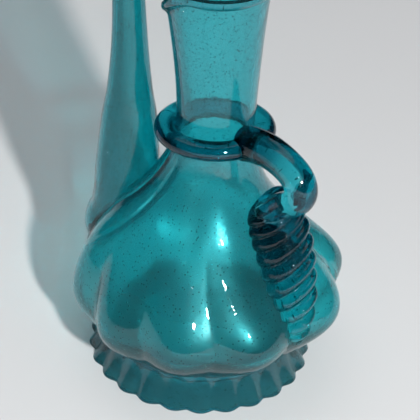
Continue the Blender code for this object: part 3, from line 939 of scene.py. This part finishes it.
class EWER_OT_handle(bpy.types.Operator):
    """Model the looped handle and its crimped tail"""

    bl_idname = "ewer.handle"
    bl_label = "Handle"

    def execute(self, context):
        shares = [i / 72 for i in range(73)]
        radii = []
        for t in shares:
            flare = 1 + (HANDLE_ROOT_FLARE - 1) * (1 - smoothstep(0.0, 0.35, t))
            flare -= (1 - HANDLE_END_SHARE) * smoothstep(0.6, 0.9, t)
            radii.append(HANDLE_THICKNESS / 2 * flare)
        handle = bar("ewer_handle", [loop_point(t) for t in shares], radii, 40)
        tail = tail_solid("crimped_tail", TAIL_RIBS * 14, 36)
        add_boolean(handle, tail, "UNION")
        apply_all(handle)
        melt = handle.modifiers.new("Melt", "REMESH")
        melt.mode = "VOXEL"
        melt.voxel_size = MELT_GRAIN
        smooth = handle.modifiers.new("Soften", "SMOOTH")
        smooth.factor = 0.5
        smooth.iterations = 4
        apply_all(handle)
        ring = ring_solid("ring_form", FUSE)
        form = vessel_form("vessel_form", FUSE)
        add_boolean(handle, ring, "DIFFERENCE")
        add_boolean(handle, form, "DIFFERENCE")
        apply_all(handle)
        drop(tail, ring, form)
        glass = blown_glass("handle_glass")
        darken_root(glass)
        set_down(handle, glass, ["handle"])
        return {"FINISHED"}


def foot_outline():
    """Outline of the skirt as (radius, height), down its outer side and up its inner side."""
    outline = []
    rows = 14
    for row in range(rows + 1):
        t = row / rows
        radius = FOOT_TOP_RADIUS + (FOOT_RADIUS - FOOT_TOP_RADIUS) * t**FOOT_FLARE
        outline.append((radius, FOOT_HEIGHT * (1 - t)))
    for treads, share in FOOT_UNDER_EDGE:
        outline.append((FOOT_RADIUS - treads * FOOT_TREAD, share * FOOT_UNDERSIDE))
    outline.append((FOOT_INNER_RADIUS + FOOT_TREAD, 1.4 * FOOT_UNDERSIDE))
    outline.append((FOOT_INNER_RADIUS, 1.5 * FOOT_UNDERSIDE))
    outline.append((FOOT_INNER_RADIUS, FOOT_HEIGHT))
    return outline


def crimp_edge(foot):
    """Press the scallops into the skirt, deepest at its edge."""
    for vertex in foot.data.vertices:
        x, y, height = vertex.co
        radius = math.hypot(x, y)
        if radius > FOOT_TOP_RADIUS:
            wave = math.cos(SCALLOPS * math.atan2(y, x) / 2)
            crimp = 2 * math.sqrt(wave * wave + SCALLOP_SOFTNESS) - 1
            fade = SCALLOP_GROWTH * (1 - height / FOOT_HEIGHT)
            scale = 1 + SCALLOP_DEPTH * crimp * fade / radius
            vertex.co.x = x * scale
            vertex.co.y = y * scale


class EWER_OT_foot(bpy.types.Operator):
    """Model the skirt with its scalloped edge"""

    bl_idname = "ewer.foot"
    bl_label = "Foot"

    def execute(self, context):
        foot = stacked_rings("ewer_foot", foot_outline(), SCALLOPS * 12)
        bpy.ops.object.mode_set(mode="EDIT")
        bpy.ops.mesh.select_all(action="DESELECT")
        bpy.ops.mesh.select_non_manifold()
        bpy.ops.mesh.bridge_edge_loops()
        bpy.ops.object.mode_set(mode="OBJECT")
        recalculated(foot)
        crimp_edge(foot)
        form = vessel_form("vessel_form", FUSE)
        add_boolean(foot, form, "DIFFERENCE")
        apply_all(foot)
        drop(form)
        glass = blown_glass("foot_glass")
        set_down(foot, glass, ["foot"], 50.0)
        return {"FINISHED"}


def pale_floor():
    """Matt floor material with faint blotches."""
    material = bpy.data.materials.new("floor_cloth")
    material.use_nodes = True
    tree = material.node_tree
    shader = tree.nodes["Principled BSDF"]
    set_values(shader, {"Roughness": 0.9, "Specular IOR Level": 0.1})
    blotches = noise_field(tree, "Blotches", object_place(tree), 9.0, 3.0)
    spread = map_range(tree, blotches, 0.0, 1.0, 0.96, 1.0)
    color = tuple(bpy.context.scene.ewer_stage.floor_color)
    tree.links.new(color_mix(tree, 1.0, color, spread, "MULTIPLY"), shader.inputs["Base Color"])
    return material


def add_area(name, place, target, size, power, color):
    """Add a round lamp that faces a point."""
    light = bpy.data.lights.new(name, "AREA")
    light.shape = "DISK"
    light.size = size
    light.energy = power
    light.color = color
    obj = bpy.data.objects.new(name, light)
    obj.location = place
    obj.rotation_euler = (Vector(target) - Vector(place)).to_track_quat("-Z", "Y").to_euler()
    bpy.context.scene.collection.objects.link(obj)


class EWER_OT_stage(bpy.types.Operator):
    """Set the plain floor, the soft lights and the camera"""

    bl_idname = "ewer.stage"
    bl_label = "Stage"

    def execute(self, context):
        scene = context.scene
        look = scene.ewer_stage
        bpy.ops.object.select_all(action="DESELECT")
        bpy.ops.mesh.primitive_grid_add(
            x_subdivisions=8, y_subdivisions=8, size=4.0, location=(0.0, 0.0, 0.0))
        floor = context.object
        floor.name = "floor"
        floor.data.materials.append(pale_floor())

        turn = look.camera_turn
        right = Vector((math.cos(turn), math.sin(turn), 0.0))
        back = Vector((math.sin(turn), -math.cos(turn), 0.0))
        up = Vector((0.0, 0.0, 1.0))

        def stepped(start, step):
            """A point some steps to the right, towards the camera and up from another."""
            return start + right * step[0] + back * step[1] + up * step[2]

        axis = axis_place()
        place = stepped(axis, CAMERA_PLACE)
        ahead = (stepped(axis, CAMERA_TARGET) - place).normalized()
        side = ahead.cross(up).normalized()
        top = side.cross(ahead)
        roll = look.camera_roll
        side_rolled = math.cos(roll) * side + math.sin(roll) * top
        top_rolled = -math.sin(roll) * side + math.cos(roll) * top
        camera = bpy.data.objects.new("camera", bpy.data.cameras.new("camera"))
        camera.data.sensor_width = SENSOR_WIDTH
        camera.data.lens = FOCAL_PIXELS * SENSOR_WIDTH / PICTURE_PIXELS
        camera.data.clip_start = 0.01
        scene.collection.objects.link(camera)
        turned = Matrix((side_rolled, top_rolled, -ahead)).transposed().to_4x4()
        camera.matrix_world = Matrix.Translation(place) @ turned
        scene.camera = camera

        lit = stepped(axis, LIT_PLACE)
        key = stepped(lit, KEY_STEP)
        overhead = stepped(lit, OVERHEAD_STEP)
        glint = stepped(place, GLINT_STEP)
        add_area("key", key, lit, 0.07, look.key_power, (1.0, 0.985, 0.96))
        add_area("overhead", overhead, lit, 1.6, look.overhead_power, (0.95, 0.98, 1.0))
        add_area("glint", glint, lit, 0.03, look.glint_power, (1.0, 1.0, 1.0))
        world = bpy.data.worlds.new("studio")
        world.use_nodes = True
        sky = world.node_tree.nodes["Background"]
        set_values(sky, {"Color": (0.94, 0.97, 1.0, 1.0), "Strength": look.sky_strength})
        world.cycles_visibility.glossy = False
        scene.world = world
        scene.view_settings.view_transform = "Standard"
        scene.cycles.max_bounces = 32
        scene.cycles.transmission_bounces = 32
        return {"FINISHED"}


class EWER_PT_panel(bpy.types.Panel):
    """Buttons for the pieces of the ewer"""

    bl_label = "Glass ewer"
    bl_idname = "EWER_PT_panel"
    bl_space_type = "VIEW_3D"
    bl_region_type = "UI"
    bl_category = "Ewer"

    def draw(self, context):
        for step in STEPS:
            self.layout.operator(step.bl_idname)


STEPS = (EWER_OT_body, EWER_OT_spout, EWER_OT_neck_ring, EWER_OT_handle, EWER_OT_foot, EWER_OT_stage)
CLASSES = (EwerSizes, EwerGlass, EwerStage, *STEPS, EWER_PT_panel)


def register():
    """Register the classes and hang their values on the scene."""
    for item in CLASSES:
        bpy.utils.register_class(item)
    bpy.types.Scene.ewer_sizes = bpy.props.PointerProperty(type=EwerSizes)
    bpy.types.Scene.ewer_glass = bpy.props.PointerProperty(type=EwerGlass)
    bpy.types.Scene.ewer_stage = bpy.props.PointerProperty(type=EwerStage)


def unregister():
    """Take the classes and their values away again."""
    del bpy.types.Scene.ewer_stage
    del bpy.types.Scene.ewer_glass
    del bpy.types.Scene.ewer_sizes
    for item in reversed(CLASSES):
        bpy.utils.unregister_class(item)


def main():
    """Model every piece and the stage."""
    register()
    bpy.ops.ewer.body()
    bpy.ops.ewer.spout()
    bpy.ops.ewer.neck_ring()
    bpy.ops.ewer.handle()
    bpy.ops.ewer.foot()
    bpy.ops.ewer.stage()


if __name__ == "__main__":
    main()
